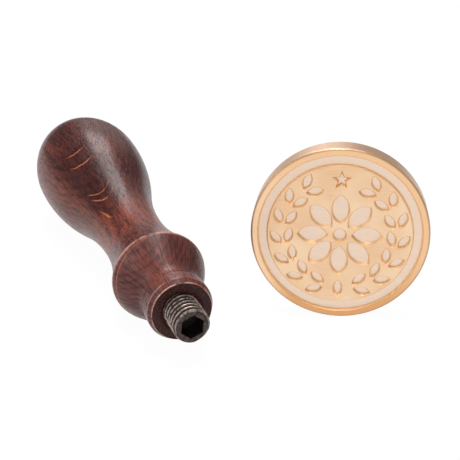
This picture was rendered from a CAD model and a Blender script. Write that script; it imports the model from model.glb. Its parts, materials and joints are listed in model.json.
import json
import math

import bpy
from mathutils import Color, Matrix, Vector

# A wax seal stamp taken apart: the stained handle lies on its side with its stud towards the camera,
# and the brass seal head stands on its rim beside it.

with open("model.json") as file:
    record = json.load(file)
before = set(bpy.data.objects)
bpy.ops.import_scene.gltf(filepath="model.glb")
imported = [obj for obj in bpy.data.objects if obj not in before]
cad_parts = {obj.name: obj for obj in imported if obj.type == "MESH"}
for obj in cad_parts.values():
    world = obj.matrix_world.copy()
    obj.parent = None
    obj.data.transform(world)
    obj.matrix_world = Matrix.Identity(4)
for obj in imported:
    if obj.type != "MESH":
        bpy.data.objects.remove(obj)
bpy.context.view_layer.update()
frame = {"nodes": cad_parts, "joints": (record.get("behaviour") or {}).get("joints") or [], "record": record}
nodes = frame["nodes"]
mounts = {mount["name"]: mount for mount in frame["record"]["mounts"]}
headJoint = frame["joints"][0]
mm = 0.001
print("frame loaded:", ", ".join(sorted(nodes)))


# where the two halves are, read from the record

lie = {
    "studReach": 5.3 * mm,  # how far the stud stands out of the wood
}
studTip = Vector(mounts["stud_thread"]["pos_m"])
handleAlong = -Vector(mounts["stud_thread"]["axis"]).normalized()  # from the stud to the bulb
handleEnd = studTip + handleAlong * lie["studReach"]
handleTilt = (
    math.asin(handleAlong.z) - math.pi / 2,
    0.0,
    math.atan2(-handleAlong.x, handleAlong.y),
)
headFace = Vector(headJoint["pos_m"])
headBack = Vector(headJoint["axis"]).normalized()  # from the engraved face to the boss
headTilt = (-math.pi / 2, 0.0, math.atan2(-headBack.x, headBack.y))


# small helpers for the material trees

def newFinish(name):
    finish = bpy.data.materials.new(name)
    finish.use_nodes = True
    tree = finish.node_tree
    shader = tree.nodes["Principled BSDF"]
    return finish, tree, shader


def feed(tree, socket, value):
    if isinstance(value, bpy.types.NodeSocket):
        tree.links.new(value, socket)
    else:
        socket.default_value = value


def put(tree, kind, inputs=None, **settings):
    made = tree.nodes.new(kind)
    for name, value in settings.items():
        setattr(made, name, value)
    for name, value in (inputs or {}).items():
        feed(tree, made.inputs[name], value)
    return made


def sums(tree, operation, first, second=0.0, third=0.0, clamp=False):
    inputs = {0: first, 1: second, 2: third}
    return put(tree, "ShaderNodeMath", inputs, operation=operation, use_clamp=clamp).outputs[0]


def product(tree, first, *others):
    for other in others:
        first = sums(tree, "MULTIPLY", first, other)
    return first


def offBy(tree, value, place):
    return sums(tree, "ABSOLUTE", sums(tree, "SUBTRACT", value, place))


def fade(tree, value, low, high):
    # 0 below low and 1 above high, with a soft step between; low may be the greater one
    inputs = {"Value": value, "From Min": low, "From Max": high, "To Min": 0.0, "To Max": 1.0}
    return put(tree, "ShaderNodeMapRange", inputs, interpolation_type="SMOOTHSTEP").outputs[0]


def tint(tree, amount, under, over):
    mix = put(tree, "ShaderNodeMix", data_type="RGBA")
    colourIn = [socket for socket in mix.inputs if socket.type == "RGBA"]
    for socket, value in zip((mix.inputs[0], *colourIn), (amount, under, over)):
        feed(tree, socket, value)
    return next(socket for socket in mix.outputs if socket.type == "RGBA")


def paint(red, green, blue):
    # a colour as it looks on the screen, 0 to 255, made linear for the shader
    shown = Color((red / 255, green / 255, blue / 255))
    return (*shown.from_srgb_to_scene_linear(), 1.0)


def localPlace(tree, spot, tilt):
    # the surface's place in millimetres from a spot on the piece, turned to the piece's own axis
    place = put(tree, "ShaderNodeTexCoord").outputs["Object"]
    inputs = {"Vector": place, "Location": spot, "Rotation": tilt, "Scale": (mm, mm, mm)}
    return put(tree, "ShaderNodeMapping", inputs, vector_type="TEXTURE").outputs[0]


def pattern(tree, place, scale, shift, detail, roughness):
    # noise, squeezed by the scale in each direction
    inputs = {"Vector": place, "Scale": scale, "Location": shift}
    squeezed = put(tree, "ShaderNodeMapping", inputs, vector_type="POINT").outputs[0]
    inputs = {"Vector": squeezed, "Scale": 1.0, "Detail": detail, "Roughness": roughness}
    return put(tree, "ShaderNodeTexNoise", inputs).outputs[0]


def axisParts(tree, place):
    # the three parts of the place, the last one along the axis, and how far it is out from the axis
    split = put(tree, "ShaderNodeSeparateXYZ", {0: place}).outputs
    across = put(tree, "ShaderNodeCombineXYZ", {0: split[0], 1: split[1]}).outputs[0]
    out = put(tree, "ShaderNodeVectorMath", {0: across}, operation="LENGTH").outputs["Value"]
    return split, out


def facingWay(angle):
    return (math.cos(angle), math.sin(angle), 0.0)


def shareFacing(tree, place, out, way):
    # 1 where the skin faces that way, 0 at a right angle to it
    dot = put(tree, "ShaderNodeVectorMath", {0: place, 1: way}, operation="DOT_PRODUCT").outputs["Value"]
    aboveZero = 0.001
    return sums(tree, "DIVIDE", dot, sums(tree, "ADD", out, aboveZero))


def emboss(tree, shader, relief, look):
    inputs = {"Height": relief, "Strength": look["bumpStrength"], "Distance": look["bumpReach"]}
    bump = put(tree, "ShaderNodeBump", inputs).outputs[0]
    tree.links.new(bump, shader.inputs["Normal"])


def dress(piece, finish):
    piece.data.materials.clear()
    piece.data.materials.append(finish)


noShift = (0.0, 0.0, 0.0)


# handle: beech stained dark, satin varnish
# Lengths are in millimetres, and places along the axis are from the end face. A name that ends in Fade
# holds where that soft step starts and where it is full.

woodLook = {
    "dark": paint(40, 20, 20),
    "mid": paint(102, 52, 45),
    "bulbMid": paint(90, 46, 40),
    "beadMid": paint(106, 64, 60),
    "beadDark": paint(56, 33, 32),
    "red": paint(144, 72, 53),
    "fleck": paint(200, 112, 74),
    "rubbed": paint(198, 152, 138),
    "endDark": paint(26, 16, 15),
    "endPale": paint(86, 52, 47),
    "holeDark": paint(20, 12, 11),
    "neckPlace": 28.35,
    "arrisPlace": 13.2,
    "bevelPlace": 1.2,
    "facePlace": 0.10,
    "beadFade": (15.0, 12.0),
    "bulbFade": (30.0, 42.0),
    # noises: scale across, across and along, shift, detail, roughness
    "streaks": ((1.8, 1.8, 0.05), noShift, 3.0, 0.55),
    "fibres": ((5.4, 5.4, 0.36), (2.0, 6.0, 1.0), 3.0, 0.6),
    "fineStreaks": ((8.0, 8.0, 0.8), noShift, 3.0, 0.65),
    "pores": ((9.0, 9.0, 0.6), (1.0, 4.0, 0.0), 2.0, 0.5),
    "patches": ((0.10, 0.10, 0.05), (3.1, 1.7, 0.4), 2.0, 0.5),
    "waver": ((0.35, 0.35, 0.12), noShift, 3.0, 0.5),
    "linePatches": ((0.30, 0.30, 0.12), (7.0, 2.5, 1.0), 2.0, 0.5),
    "wear": ((0.5, 0.5, 0.5), (5.0, 2.0, 0.0), 3.0, 0.6),
    "endCells": ((3.2, 3.2, 3.2), noShift, 3.0, 0.65),
    # the unrolled skin
    "skinRadius": 8.0,
    "axisGap": 0.01,
    # growth rings
    "ringFacing": math.radians(-122.0),  # the way that they bulge, about the handle's axis
    "pithReach": 48.0,  # the tree's middle lies this far off, out of the handle
    "ringSpacing": 0.85,
    "ringWaver": 0.30,
    "lateFade": (0.35, 0.95),
    # pale lines where the turning cuts a ring nearly flat
    "bulbRings": (5.72, 6.30, 6.70, 9.10, 9.97),  # out from the axis
    "paleFade": (0.045, 0.01),
    "flatFade": (0.92, 0.965),
    "wideFade": (7.5, 10.5),
    "wideShorter": -0.05,  # the lines reach less far round where the bulb is wide
    "lineStartFade": (30.0, 32.0),
    "linePatchFade": (0.30, 0.48),
    "strayInFade": (0.0, 0.03),
    "strayOutFade": (0.12, 0.05),
    "strayPatchFade": (0.64, 0.74),
    "strayAmount": 0.35,
    "fleckAmount": 0.72,
    # how much each pattern counts in the grain
    "fineShare": 0.40,
    "streakShare": 0.22,
    "fibreShare": 0.46,
    "lateShare": -0.05,
    "grainFade": (0.42, 0.64),
    "poreFade": (0.56, 0.66),
    "poreAmount": 0.65,
    # thin stain, redder, on the bead, round the neck and in patches
    "beadThin": 0.06,
    "beadThinFade": (30.0, 14.0),
    "neckThin": 0.50,
    "neckThinFade": (11.0, 2.0),
    "patchThin": 0.25,
    "patchThinFade": (0.50, 0.68),
    "thinGrainFade": (0.40, 0.62),
    # where the stain pooled or stayed thin: the way it faces, how narrow, from, to, how much, colour
    "stains": (
        (-122.0, 0.80, 33.0, 60.0, 0.55, "dark"),
        (-50.0, 0.80, 42.0, 66.0, 0.45, "dark"),
        (-200.0, 0.62, 24.0, 82.0, 0.30, "red"),
        (-110.0, -1.20, 77.0, 92.0, 0.60, "red"),
        (-104.0, 0.78, 3.0, 7.0, 0.60, "red"),
        (-56.0, 0.80, 6.0, 16.0, 0.45, "dark"),
    ),
    "stainSoftShare": 0.16,
    "stainSoftStart": 5.0,
    "stainSoftEnd": 6.0,
    "stainGrainFade": (0.38, 0.60),
    # edges that are rubbed pale: the place, how far it reaches, how much
    "rubbedEdges": (
        ("arrisPlace", 0.60, 0.55),
        ("bevelPlace", 0.20, 0.45),
        ("facePlace", 0.28, 0.85),
    ),
    "rubbedFade": (0.34, 0.54),
    "holeClearFade": (4.1, 4.6),
    # a turned line that leaves the arris on the left
    "lineBack": 0.2,
    "lineLean": 1.1,
    "lineFade": (0.16, 0.03),
    "lineLeftFade": (0.0, 0.2),
    "lineWearFade": (0.30, 0.50),
    "lineAmount": 0.45,
    # end face and hole
    "endFade": (0.06, 0.02),
    "endTurning": {"Scale": 0.9, "Distortion": 0.6, "Detail": 2.0},
    "turningShare": 0.10,
    "cellShare": 1.5,
    "cellStart": -0.35,
    "endShareFade": (0.1, 0.9),
    "holeFade": (3.8, 3.2),
    # varnish
    "roughness": 0.19,
    "fineRoughness": 0.14,
    "poreRoughness": 0.14,
    "specular": 0.10,
    "poreDepth": -0.6,
    "fineDepth": 0.5,
    "turningDepth": 0.3,
    "bumpStrength": 0.35,
    "bumpReach": 0.06 * mm,
}

stainedWood, tree, shader = newFinish("stainedWood")
place = localPlace(tree, handleEnd, handleTilt)
split, out = axisParts(tree, place)
along = split[2]

# fibres run along the turning, so they are drawn on its unrolled skin
perRadius = sums(tree, "DIVIDE", woodLook["skinRadius"], sums(tree, "ADD", out, woodLook["axisGap"]))
skinX = product(tree, split[0], perRadius)
skinY = product(tree, split[1], perRadius)
skin = put(tree, "ShaderNodeCombineXYZ", {0: skinX, 1: skinY, 2: along}).outputs[0]
streaks = pattern(tree, skin, *woodLook["streaks"])
fibres = pattern(tree, skin, *woodLook["fibres"])
fineStreaks = pattern(tree, skin, *woodLook["fineStreaks"])
pores = fade(tree, pattern(tree, skin, *woodLook["pores"]), *woodLook["poreFade"])

# growth rings, nearly flat sheets here because the tree's middle is far away
facing = facingWay(woodLook["ringFacing"])
pithPlace = tuple(-share * woodLook["pithReach"] for share in facing)
inputs = {"Vector": place, "Location": pithPlace}
fromPith = put(tree, "ShaderNodeMapping", inputs, vector_type="TEXTURE").outputs[0]
pithOut = sums(tree, "SUBTRACT", axisParts(tree, fromPith)[1], woodLook["pithReach"])
waver = pattern(tree, place, *woodLook["waver"])
waverOut = sums(tree, "MULTIPLY_ADD", waver, woodLook["ringWaver"], -woodLook["ringWaver"] / 2)
ringOut = sums(tree, "ADD", pithOut, waverOut)
ringShare = sums(tree, "FRACT", sums(tree, "DIVIDE", ringOut, woodLook["ringSpacing"]))
lateWood = fade(tree, ringShare, *woodLook["lateFade"])

# a few rings show as thin pale lines where the turning cuts them nearly flat
bulbLine = 0.0
for paleOut in woodLook["bulbRings"]:
    paleRing = fade(tree, offBy(tree, ringOut, paleOut), *woodLook["paleFade"])
    bulbLine = sums(tree, "MAXIMUM", bulbLine, paleRing)
facingShare = shareFacing(tree, place, out, facing)
wide = fade(tree, out, *woodLook["wideFade"])
flatShare = sums(tree, "MULTIPLY_ADD", wide, woodLook["wideShorter"], facingShare)
onFlat = fade(tree, flatShare, *woodLook["flatFade"])
onBulb = fade(tree, along, *woodLook["lineStartFade"])
linePatches = pattern(tree, place, *woodLook["linePatches"])
inPatch = fade(tree, linePatches, *woodLook["linePatchFade"])
paleLine = product(tree, bulbLine, product(tree, onFlat, onBulb), inPatch)
strayIn = fade(tree, ringShare, *woodLook["strayInFade"])
strayOut = fade(tree, ringShare, *woodLook["strayOutFade"])
strayPatch = fade(tree, linePatches, *woodLook["strayPatchFade"])
strayLine = product(tree, strayIn, strayOut, strayPatch, woodLook["strayAmount"])
ringFleck = sums(tree, "MAXIMUM", paleLine, strayLine)

# the grain, from dark to the middle tone of each part of the turning
grain = product(tree, streaks, woodLook["streakShare"])
grain = sums(tree, "MULTIPLY_ADD", fineStreaks, woodLook["fineShare"], grain)
grain = sums(tree, "MULTIPLY_ADD", fibres, woodLook["fibreShare"], grain)
grain = sums(tree, "MULTIPLY_ADD", lateWood, woodLook["lateShare"], grain)
towardsBulb = fade(tree, along, *woodLook["bulbFade"])
onBead = fade(tree, along, *woodLook["beadFade"])
midColour = tint(tree, towardsBulb, woodLook["mid"], woodLook["bulbMid"])
midColour = tint(tree, onBead, midColour, woodLook["beadMid"])
darkColour = tint(tree, onBead, woodLook["dark"], woodLook["beadDark"])
colour = tint(tree, fade(tree, grain, *woodLook["grainFade"]), darkColour, midColour)

# thin stain lets the red wood through, and pooled stain is dark
beadThin = product(tree, fade(tree, along, *woodLook["beadThinFade"]), woodLook["beadThin"])
nearNeck = fade(tree, offBy(tree, along, woodLook["neckPlace"]), *woodLook["neckThinFade"])
stainThin = sums(tree, "MULTIPLY_ADD", nearNeck, woodLook["neckThin"], beadThin)
patches = fade(tree, pattern(tree, place, *woodLook["patches"]), *woodLook["patchThinFade"])
stainThin = sums(tree, "ADD", stainThin, product(tree, patches, woodLook["patchThin"]))
thinGrain = fade(tree, grain, *woodLook["thinGrainFade"])
redness = sums(tree, "MULTIPLY", stainThin, thinGrain, clamp=True)
colour = tint(tree, redness, colour, woodLook["red"])
for angle, narrow, start, end, amount, stain in woodLook["stains"]:
    facesIt = shareFacing(tree, place, out, facingWay(math.radians(angle)))
    stained = fade(tree, facesIt, narrow, narrow + woodLook["stainSoftShare"])
    afterStart = fade(tree, along, start - woodLook["stainSoftStart"], start + woodLook["stainSoftStart"])
    beforeEnd = fade(tree, along, end + woodLook["stainSoftEnd"], end - woodLook["stainSoftEnd"])
    stained = product(tree, stained, afterStart, beforeEnd)
    if stain == "red":
        stained = product(tree, stained, fade(tree, grain, *woodLook["stainGrainFade"]))
    colour = tint(tree, product(tree, stained, amount), colour, woodLook[stain])
colour = tint(tree, product(tree, ringFleck, woodLook["fleckAmount"]), colour, woodLook["fleck"])

# stain rubbed thin on the arris and on the two edges of the bevel
wear = pattern(tree, place, *woodLook["wear"])
rubbed = fade(tree, wear, *woodLook["rubbedFade"])
offHole = fade(tree, out, *woodLook["holeClearFade"])
for placeName, reach, amount in woodLook["rubbedEdges"]:
    nearEdge = fade(tree, offBy(tree, along, woodLook[placeName]), reach, 0.0)
    edge = product(tree, nearEdge, rubbed, offHole, amount)
    colour = tint(tree, edge, colour, woodLook["rubbed"])

# the turned line on the left, and the pores
leftShare = shareFacing(tree, place, out, (-1.0, 0.0, 0.0))
lineStart = woodLook["arrisPlace"] - woodLook["lineBack"]
lineAlong = sums(tree, "MULTIPLY_ADD", leftShare, -woodLook["lineLean"], lineStart)
nearLine = fade(tree, offBy(tree, along, lineAlong), *woodLook["lineFade"])
onLeft = fade(tree, leftShare, *woodLook["lineLeftFade"])
lineWear = fade(tree, wear, *woodLook["lineWearFade"])
turnedLine = product(tree, nearLine, onLeft, lineWear, woodLook["lineAmount"])
colour = tint(tree, turnedLine, colour, woodLook["fleck"])
colour = tint(tree, product(tree, pores, woodLook["poreAmount"]), colour, woodLook["dark"])

# end grain, and stain soaked into the end face and the stud's hole
endGrain = fade(tree, along, *woodLook["endFade"])
inputs = {"Vector": place, **woodLook["endTurning"]}
turning = put(tree, "ShaderNodeTexWave", inputs, wave_type="RINGS", rings_direction="Z").outputs["Fac"]
endCells = pattern(tree, place, *woodLook["endCells"])
endShare = sums(tree, "MULTIPLY_ADD", endCells, woodLook["cellShare"], woodLook["cellStart"])
endShare = sums(tree, "MULTIPLY_ADD", turning, woodLook["turningShare"], endShare)
endPale = fade(tree, endShare, *woodLook["endShareFade"])
endColour = tint(tree, endPale, woodLook["endDark"], woodLook["endPale"])
endColour = tint(tree, fade(tree, out, *woodLook["holeFade"]), endColour, woodLook["holeDark"])
colour = tint(tree, endGrain, colour, endColour)
tree.links.new(colour, shader.inputs["Base Color"])

# satin varnish, duller in the pores
gloss = sums(tree, "MULTIPLY_ADD", fineStreaks, woodLook["fineRoughness"], woodLook["roughness"])
gloss = sums(tree, "MULTIPLY_ADD", pores, woodLook["poreRoughness"], gloss)
tree.links.new(gloss, shader.inputs["Roughness"])
shader.inputs["Specular IOR Level"].default_value = woodLook["specular"]
relief = product(tree, fineStreaks, woodLook["fineDepth"])
relief = sums(tree, "MULTIPLY_ADD", pores, woodLook["poreDepth"], relief)
relief = sums(tree, "MULTIPLY_ADD", product(tree, turning, endGrain), woodLook["turningDepth"], relief)
emboss(tree, shader, relief, woodLook)
dress(nodes["handle"], stainedWood)
print("handle: stained wood")


# stud: blackened steel, worn bright on the thread's crests
# Places along the axis are from the stud's free end.

steelLook = {
    "root": paint(52, 44, 41),
    "worn": paint(188, 168, 158),
    "socket": paint(62, 54, 52),
    "scuff": ((1.6, 1.6, 1.6), noShift, 3.0, 0.55),
    "crestFade": (2.73, 2.93),  # out from the axis
    "endEdgeFade": (2.55, 2.75),
    "endEdgeDepthFade": (0.45, 0.30),
    "endEdgeAmount": 0.7,
    "scuffFade": (0.28, 0.62),
    "endFade": (0.05, 0.0),
    "endScuffFade": (0.35, 0.75),
    "endAmount": 0.16,
    "socketFade": (2.15, 1.95),
    "socketDepthFade": (0.09, 0.3),
    "roughness": 0.26,
    "scuffRoughness": 0.3,
    "metallic": 0.85,
    "bumpStrength": 0.2,
    "bumpReach": 0.05 * mm,
}

blackSteel, tree, shader = newFinish("blackSteel")
place = localPlace(tree, studTip, handleTilt)
split, out = axisParts(tree, place)
along = split[2]
scuff = pattern(tree, place, *steelLook["scuff"])
crest = fade(tree, out, *steelLook["crestFade"])
nearEnd = fade(tree, along, *steelLook["endEdgeDepthFade"])
endEdge = product(tree, fade(tree, out, *steelLook["endEdgeFade"]), nearEnd, steelLook["endEdgeAmount"])
worn = sums(tree, "MAXIMUM", crest, endEdge)
worn = product(tree, worn, fade(tree, scuff, *steelLook["scuffFade"]))
onEnd = fade(tree, along, *steelLook["endFade"])
onEnd = product(tree, onEnd, fade(tree, scuff, *steelLook["endScuffFade"]), steelLook["endAmount"])
worn = sums(tree, "MAXIMUM", worn, onEnd)
colour = tint(tree, worn, steelLook["root"], steelLook["worn"])
atAxis = fade(tree, out, *steelLook["socketFade"])
inside = fade(tree, along, *steelLook["socketDepthFade"])
colour = tint(tree, product(tree, atAxis, inside), colour, steelLook["socket"])
tree.links.new(colour, shader.inputs["Base Color"])
rough = sums(tree, "MULTIPLY_ADD", scuff, steelLook["scuffRoughness"], steelLook["roughness"])
tree.links.new(rough, shader.inputs["Roughness"])
shader.inputs["Metallic"].default_value = steelLook["metallic"]
emboss(tree, shader, scuff, steelLook)
dress(nodes["stud"], blackSteel)
print("stud: black steel")


# seal head: brass, its face rubbed smooth and the engraving left pale by the cutter
# Depths are from the engraved face towards the boss.

brassLook = {
    "land": paint(243, 206, 168),
    "landDull": paint(231, 189, 147),
    "landPale": paint(246, 214, 178),
    "outerLand": paint(245, 201, 156),
    "lowLand": paint(224, 168, 116),
    "leftLand": paint(252, 214, 174),
    "edge": paint(176, 130, 92),
    "floor": paint(243, 221, 201),
    "floorDull": paint(240, 214, 192),
    "wall": paint(244, 204, 156),
    "side": paint(200, 166, 139),
    "sideDull": paint(178, 143, 115),
    "back": paint(234, 200, 162),
    "backPale": paint(240, 208, 172),
    "bore": paint(150, 106, 66),
    # noises: scale across, down and along, shift, detail, roughness
    "brushed": ((0.35, 7.0, 2.0), noShift, 4.0, 0.6),
    "cutterMarks": ((0.5, 11.0, 1.0), (2.0, 0.0, 0.0), 2.0, 0.5),
    "rimMarks": ((0.8, 0.8, 9.0), noShift, 3.0, 0.6),
    "cloud": ((0.12, 0.12, 0.12), noShift, 2.0, 0.5),
    "brushedFade": (0.25, 0.75),
    "marksFade": (0.3, 0.7),
    "cloudFade": (0.35, 0.7),
    # the land outside the border, darker low down and paler on the left
    "outerFade": (13.6, 13.9),
    "lowFade": (3.0, 13.0),
    "leftFade": (-7.0, -14.0),
    # the engraving's sloping walls and its floor
    "engravingDepth": 0.55,
    "wallFade": (0.02, 0.08),
    "pastFloorFade": (0.3, 0.1),
    # rim, back and bore
    "sideFade": (14.7, 14.95),
    "edgeFade": (14.6, 14.8),
    "edgeDepthFade": (0.40, 0.25),
    "edgeAmount": 0.6,
    "behindFade": (4.2, 4.6),
    "boreFade": (2.8, 2.6),
    "roughness": 0.27,
    "brushedRoughness": 0.16,
    "floorRoughness": 0.12,
    "sideDullness": 0.9,
    "dullLoss": -0.45,  # added to Metallic where the brass is dull
    "cutterDepth": 0.5,
    "brushedDepth": 0.35,
    "bumpStrength": 0.25,
    "bumpReach": 0.04 * mm,
}

satinBrass, tree, shader = newFinish("satinBrass")
place = localPlace(tree, headFace, headTilt)
split, out = axisParts(tree, place)
across, down, depth = split
brushed = pattern(tree, place, *brassLook["brushed"])
cutterMarks = pattern(tree, place, *brassLook["cutterMarks"])
rimMarks = pattern(tree, place, *brassLook["rimMarks"])
cloudy = fade(tree, pattern(tree, place, *brassLook["cloud"]), *brassLook["cloudFade"])

# the face: land, then the engraving's walls and floors
brushedShare = fade(tree, brushed, *brassLook["brushedFade"])
land = tint(tree, brushedShare, brassLook["landDull"], brassLook["land"])
land = tint(tree, cloudy, land, brassLook["landPale"])
lowShare = fade(tree, down, *brassLook["lowFade"])
outerLand = tint(tree, lowShare, brassLook["outerLand"], brassLook["lowLand"])
outerLand = tint(tree, fade(tree, across, *brassLook["leftFade"]), outerLand, brassLook["leftLand"])
land = tint(tree, fade(tree, out, *brassLook["outerFade"]), land, outerLand)
cutShare = fade(tree, cutterMarks, *brassLook["marksFade"])
floorColour = tint(tree, cutShare, brassLook["floorDull"], brassLook["floor"])
bottom = brassLook["engravingDepth"]
wallStart, wallFull = brassLook["wallFade"]
belowLand = fade(tree, depth, wallStart, wallFull)
onWall = product(tree, belowLand, fade(tree, depth, bottom - wallStart, bottom - wallFull))
pastStart, pastFull = brassLook["pastFloorFade"]
abovePast = fade(tree, depth, bottom + pastStart, bottom + pastFull)
onFloor = product(tree, fade(tree, depth, bottom - wallFull, bottom - wallStart), abovePast)
colour = tint(tree, onWall, land, brassLook["wall"])
colour = tint(tree, onFloor, colour, floorColour)

# the rim's side and edge, the back and the bore
rimShare = fade(tree, rimMarks, *brassLook["marksFade"])
sideColour = tint(tree, rimShare, brassLook["sideDull"], brassLook["side"])
onSide = fade(tree, out, *brassLook["sideFade"])
colour = tint(tree, onSide, colour, sideColour)
nearFace = fade(tree, depth, *brassLook["edgeDepthFade"])
onEdge = product(tree, fade(tree, out, *brassLook["edgeFade"]), nearFace, brassLook["edgeAmount"])
colour = tint(tree, onEdge, colour, brassLook["edge"])
behind = fade(tree, depth, *brassLook["behindFade"])
colour = tint(tree, behind, colour, tint(tree, cloudy, brassLook["back"], brassLook["backPale"]))
inBore = product(tree, fade(tree, out, *brassLook["boreFade"]), behind)
colour = tint(tree, inBore, colour, brassLook["bore"])
tree.links.new(colour, shader.inputs["Base Color"])

rough = sums(tree, "MULTIPLY_ADD", brushed, brassLook["brushedRoughness"], brassLook["roughness"])
rough = sums(tree, "MULTIPLY_ADD", onFloor, brassLook["floorRoughness"], rough)
tree.links.new(rough, shader.inputs["Roughness"])
dull = sums(tree, "MAXIMUM", onWall, product(tree, onSide, brassLook["sideDullness"]))
tree.links.new(sums(tree, "MULTIPLY_ADD", dull, brassLook["dullLoss"], 1.0), shader.inputs["Metallic"])
relief = product(tree, brushed, brassLook["brushedDepth"])
relief = sums(tree, "MULTIPLY_ADD", cutterMarks, brassLook["cutterDepth"], relief)
emboss(tree, shader, relief, brassLook)
dress(nodes["seal_head"], satinBrass)
print("seal head: satin brass")


# floor and light

studio = {
    "floorSize": 4.0,
    "floorColour": (0.9, 0.9, 0.9, 1.0),
    "floorRoughness": 0.9,
    "floorGlow": 0.97,  # share of the floor's own white that the camera and the metal see
    "white": (1.0, 1.0, 1.0, 1.0),
    "worldStrength": 0.16,
    # each panel's middle, its width and height, and its brightness, where 1 is white
    "panels": {
        "overheadPanel": ((-0.044, 0.283, 0.586), (0.24, 0.75), 8.8),
        "foreheadPanel": ((0.03, -0.13, 0.64), (0.36, 0.24), 9.0),
        "leftPanel": ((-0.53, -0.05, 0.28), (0.40, 0.36), 3.0),
        "backPanel": ((-0.02, 0.66, 0.22), (0.34, 0.22), 0.6),
        "rightPanel": ((0.55, 0.16, 0.24), (0.44, 0.30), 1.2),
        "frontPanel": ((-0.05, -0.75, 0.30), (1.2, 0.55), 0.9),
    },
}

bpy.ops.object.select_all(action="DESELECT")
bpy.ops.mesh.primitive_plane_add(size=studio["floorSize"])
floor = bpy.context.object
floor.name = "floor"
paper, tree, shader = newFinish("whitePaper")
shader.inputs["Base Color"].default_value = studio["floorColour"]
shader.inputs["Roughness"].default_value = studio["floorRoughness"]
rays = put(tree, "ShaderNodeLightPath").outputs
seen = sums(tree, "ADD", rays["Is Camera Ray"], rays["Is Glossy Ray"])
seen = sums(tree, "ADD", seen, rays["Is Transmission Ray"], clamp=True)
share = product(tree, seen, studio["floorGlow"])
glow = put(tree, "ShaderNodeEmission", {"Color": studio["white"], "Strength": 1.0}).outputs[0]
sheet = put(tree, "ShaderNodeMixShader", {0: share, 1: shader.outputs[0], 2: glow}).outputs[0]
tree.links.new(sheet, tree.nodes["Material Output"].inputs["Surface"])
dress(floor, paper)

scene = bpy.context.scene
scene.view_settings.view_transform = "Standard"
world = bpy.data.worlds.new("studio")
scene.world = world
world.use_nodes = True
background = world.node_tree.nodes["Background"]
background.inputs["Color"].default_value = studio["white"]
background.inputs["Strength"].default_value = studio["worldStrength"]


def softbox(name, spot, size, level):
    lamp = bpy.data.lights.new(name, "AREA")
    lamp.shape = "RECTANGLE"
    lamp.size, lamp.size_y = size
    lamp.energy = level * math.pi * size[0] * size[1]
    holder = bpy.data.objects.new(name, lamp)
    holder.location = spot
    holder.rotation_euler = (-Vector(spot)).to_track_quat("-Z", "Y").to_euler()
    scene.collection.objects.link(holder)


for name, panel in studio["panels"].items():
    softbox(name, *panel)
print("floor and light set")


# camera, placed from the stud's tip

shot = {
    "asideOfStud": 5.72 * mm,
    "beforeStud": 137.94 * mm,
    "height": 74.2 * mm,
    "downAngle": math.radians(20.4),
    "focalPixels": 1000.0,
    "imageWidth": 460.0,
    "sensor": 36.0,
    "clipStart": 10.0 * mm,
}
lens = bpy.data.cameras.new("photoCamera")
lens.sensor_width = shot["sensor"]
lens.lens = shot["focalPixels"] / shot["imageWidth"] * shot["sensor"]
lens.clip_start = shot["clipStart"]
camera = bpy.data.objects.new("photoCamera", lens)
camera.location = (studTip.x + shot["asideOfStud"], studTip.y - shot["beforeStud"], shot["height"])
camera.rotation_euler = (math.pi / 2 - shot["downAngle"], 0.0, 0.0)
scene.collection.objects.link(camera)
scene.camera = camera
print("camera set")
